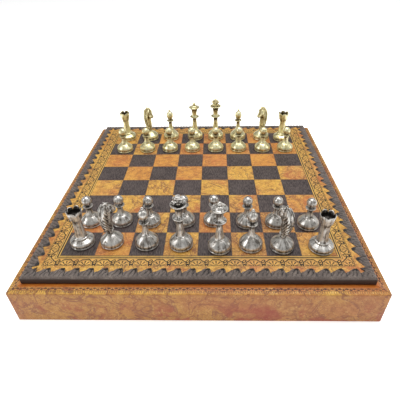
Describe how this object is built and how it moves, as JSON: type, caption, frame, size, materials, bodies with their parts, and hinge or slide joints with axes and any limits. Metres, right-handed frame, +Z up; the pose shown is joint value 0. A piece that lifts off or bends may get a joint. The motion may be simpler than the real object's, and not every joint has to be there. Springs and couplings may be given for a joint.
{
  "type": "chess set with board",
  "caption": "Chess men in pale gold and antique silver metal on a lace-edged, map-print leather board that lifts off a matching square storage case.",
  "frame": {"origin": "centre of the case's underside, on the table", "axes": "+Z up, out of the playing surface; +X to the right along the ranks; +Y away from the silver side, towards the gold side"},
  "size_m": [0.352, 0.352, 0.1115],
  "materials": {
    "felt": "short dark red felt",
    "wood": "bare fibreboard and plywood",
    "map_leather": "amber antique-map print on smooth leatherette, semi-matt",
    "board_leather": "printed leatherette, amber and grey-brown squares",
    "flock": "dark red flock",
    "lace_leather": "dark brown lacing leather, fine grain",
    "gold_metal": "pale polished brass",
    "silver_metal": "antique silver, dark in the recesses"
  },
  "bodies": {
    "case": {"base_felt": "felt", "floor_panel": "wood", "front_wall": "wood", "back_wall": "wood", "left_wall": "wood", "right_wall": "wood", "front_rail": "wood", "back_rail": "wood", "left_rail": "wood", "right_rail": "wood", "side_covering": "map_leather", "rim_covering": "map_leather", "floor_lining": "flock", "wall_lining": "flock", "divider_across": "flock", "divider_along": "flock"},
    "board": {"board_backing": "felt", "board_core": "wood", "board_face": "board_leather", "edge_strip": "lace_leather", "front_batten": "wood", "back_batten": "wood", "left_batten": "wood", "right_batten": "wood", "front_lace": "lace_leather", "back_lace": "lace_leather", "left_lace": "lace_leather", "right_lace": "lace_leather"},
    "gold_rook_a8": {"gold_rook_a8": "gold_metal"},
    "gold_knight_b8": {"gold_knight_b8": "gold_metal"},
    "gold_bishop_c8": {"gold_bishop_c8": "gold_metal"},
    "gold_queen_d8": {"gold_queen_d8": "gold_metal"},
    "gold_king_e8": {"gold_king_e8": "gold_metal"},
    "gold_bishop_f8": {"gold_bishop_f8": "gold_metal"},
    "gold_knight_g8": {"gold_knight_g8": "gold_metal"},
    "gold_rook_h8": {"gold_rook_h8": "gold_metal"},
    "gold_pawn_a7": {"gold_pawn_a7": "gold_metal"},
    "gold_pawn_b7": {"gold_pawn_b7": "gold_metal"},
    "gold_pawn_c7": {"gold_pawn_c7": "gold_metal"},
    "gold_pawn_d7": {"gold_pawn_d7": "gold_metal"},
    "gold_pawn_e7": {"gold_pawn_e7": "gold_metal"},
    "gold_pawn_f7": {"gold_pawn_f7": "gold_metal"},
    "gold_pawn_g7": {"gold_pawn_g7": "gold_metal"},
    "gold_pawn_h7": {"gold_pawn_h7": "gold_metal"},
    "silver_rook_a1": {"silver_rook_a1": "silver_metal"},
    "silver_knight_b1": {"silver_knight_b1": "silver_metal"},
    "silver_bishop_c1": {"silver_bishop_c1": "silver_metal"},
    "silver_king_d1": {"silver_king_d1": "silver_metal"},
    "silver_queen_e1": {"silver_queen_e1": "silver_metal"},
    "silver_bishop_f1": {"silver_bishop_f1": "silver_metal"},
    "silver_knight_g1": {"silver_knight_g1": "silver_metal"},
    "silver_rook_h1": {"silver_rook_h1": "silver_metal"},
    "silver_pawn_a2": {"silver_pawn_a2": "silver_metal"},
    "silver_pawn_b2": {"silver_pawn_b2": "silver_metal"},
    "silver_pawn_c2": {"silver_pawn_c2": "silver_metal"},
    "silver_pawn_d2": {"silver_pawn_d2": "silver_metal"},
    "silver_pawn_e2": {"silver_pawn_e2": "silver_metal"},
    "silver_pawn_f2": {"silver_pawn_f2": "silver_metal"},
    "silver_pawn_g2": {"silver_pawn_g2": "silver_metal"},
    "silver_pawn_h2": {"silver_pawn_h2": "silver_metal"}
  },
  "joints": [
    {"name": "board_lift", "type": "slide", "parent": "case", "child": "board", "axis": [0, 0, 1], "range_m": [0, 0.15]},
    {"name": "gold_rook_a8_lift", "type": "slide", "parent": "board", "child": "gold_rook_a8", "axis": [0, 0, 1], "range_m": [0, 0.08]},
    {"name": "gold_knight_b8_lift", "type": "slide", "parent": "board", "child": "gold_knight_b8", "axis": [0, 0, 1], "range_m": [0, 0.08]},
    {"name": "gold_bishop_c8_lift", "type": "slide", "parent": "board", "child": "gold_bishop_c8", "axis": [0, 0, 1], "range_m": [0, 0.08]},
    {"name": "gold_queen_d8_lift", "type": "slide", "parent": "board", "child": "gold_queen_d8", "axis": [0, 0, 1], "range_m": [0, 0.08]},
    {"name": "gold_king_e8_lift", "type": "slide", "parent": "board", "child": "gold_king_e8", "axis": [0, 0, 1], "range_m": [0, 0.08]},
    {"name": "gold_bishop_f8_lift", "type": "slide", "parent": "board", "child": "gold_bishop_f8", "axis": [0, 0, 1], "range_m": [0, 0.08]},
    {"name": "gold_knight_g8_lift", "type": "slide", "parent": "board", "child": "gold_knight_g8", "axis": [0, 0, 1], "range_m": [0, 0.08]},
    {"name": "gold_rook_h8_lift", "type": "slide", "parent": "board", "child": "gold_rook_h8", "axis": [0, 0, 1], "range_m": [0, 0.08]},
    {"name": "gold_pawn_a7_lift", "type": "slide", "parent": "board", "child": "gold_pawn_a7", "axis": [0, 0, 1], "range_m": [0, 0.08]},
    {"name": "gold_pawn_b7_lift", "type": "slide", "parent": "board", "child": "gold_pawn_b7", "axis": [0, 0, 1], "range_m": [0, 0.08]},
    {"name": "gold_pawn_c7_lift", "type": "slide", "parent": "board", "child": "gold_pawn_c7", "axis": [0, 0, 1], "range_m": [0, 0.08]},
    {"name": "gold_pawn_d7_lift", "type": "slide", "parent": "board", "child": "gold_pawn_d7", "axis": [0, 0, 1], "range_m": [0, 0.08]},
    {"name": "gold_pawn_e7_lift", "type": "slide", "parent": "board", "child": "gold_pawn_e7", "axis": [0, 0, 1], "range_m": [0, 0.08]},
    {"name": "gold_pawn_f7_lift", "type": "slide", "parent": "board", "child": "gold_pawn_f7", "axis": [0, 0, 1], "range_m": [0, 0.08]},
    {"name": "gold_pawn_g7_lift", "type": "slide", "parent": "board", "child": "gold_pawn_g7", "axis": [0, 0, 1], "range_m": [0, 0.08]},
    {"name": "gold_pawn_h7_lift", "type": "slide", "parent": "board", "child": "gold_pawn_h7", "axis": [0, 0, 1], "range_m": [0, 0.08]},
    {"name": "silver_rook_a1_lift", "type": "slide", "parent": "board", "child": "silver_rook_a1", "axis": [0, 0, 1], "range_m": [0, 0.08]},
    {"name": "silver_knight_b1_lift", "type": "slide", "parent": "board", "child": "silver_knight_b1", "axis": [0, 0, 1], "range_m": [0, 0.08]},
    {"name": "silver_bishop_c1_lift", "type": "slide", "parent": "board", "child": "silver_bishop_c1", "axis": [0, 0, 1], "range_m": [0, 0.08]},
    {"name": "silver_king_d1_lift", "type": "slide", "parent": "board", "child": "silver_king_d1", "axis": [0, 0, 1], "range_m": [0, 0.08]},
    {"name": "silver_queen_e1_lift", "type": "slide", "parent": "board", "child": "silver_queen_e1", "axis": [0, 0, 1], "range_m": [0, 0.08]},
    {"name": "silver_bishop_f1_lift", "type": "slide", "parent": "board", "child": "silver_bishop_f1", "axis": [0, 0, 1], "range_m": [0, 0.08]},
    {"name": "silver_knight_g1_lift", "type": "slide", "parent": "board", "child": "silver_knight_g1", "axis": [0, 0, 1], "range_m": [0, 0.08]},
    {"name": "silver_rook_h1_lift", "type": "slide", "parent": "board", "child": "silver_rook_h1", "axis": [0, 0, 1], "range_m": [0, 0.08]},
    {"name": "silver_pawn_a2_lift", "type": "slide", "parent": "board", "child": "silver_pawn_a2", "axis": [0, 0, 1], "range_m": [0, 0.08]},
    {"name": "silver_pawn_b2_lift", "type": "slide", "parent": "board", "child": "silver_pawn_b2", "axis": [0, 0, 1], "range_m": [0, 0.08]},
    {"name": "silver_pawn_c2_lift", "type": "slide", "parent": "board", "child": "silver_pawn_c2", "axis": [0, 0, 1], "range_m": [0, 0.08]},
    {"name": "silver_pawn_d2_lift", "type": "slide", "parent": "board", "child": "silver_pawn_d2", "axis": [0, 0, 1], "range_m": [0, 0.08]},
    {"name": "silver_pawn_e2_lift", "type": "slide", "parent": "board", "child": "silver_pawn_e2", "axis": [0, 0, 1], "range_m": [0, 0.08]},
    {"name": "silver_pawn_f2_lift", "type": "slide", "parent": "board", "child": "silver_pawn_f2", "axis": [0, 0, 1], "range_m": [0, 0.08]},
    {"name": "silver_pawn_g2_lift", "type": "slide", "parent": "board", "child": "silver_pawn_g2", "axis": [0, 0, 1], "range_m": [0, 0.08]},
    {"name": "silver_pawn_h2_lift", "type": "slide", "parent": "board", "child": "silver_pawn_h2", "axis": [0, 0, 1], "range_m": [0, 0.08]}
  ]
}
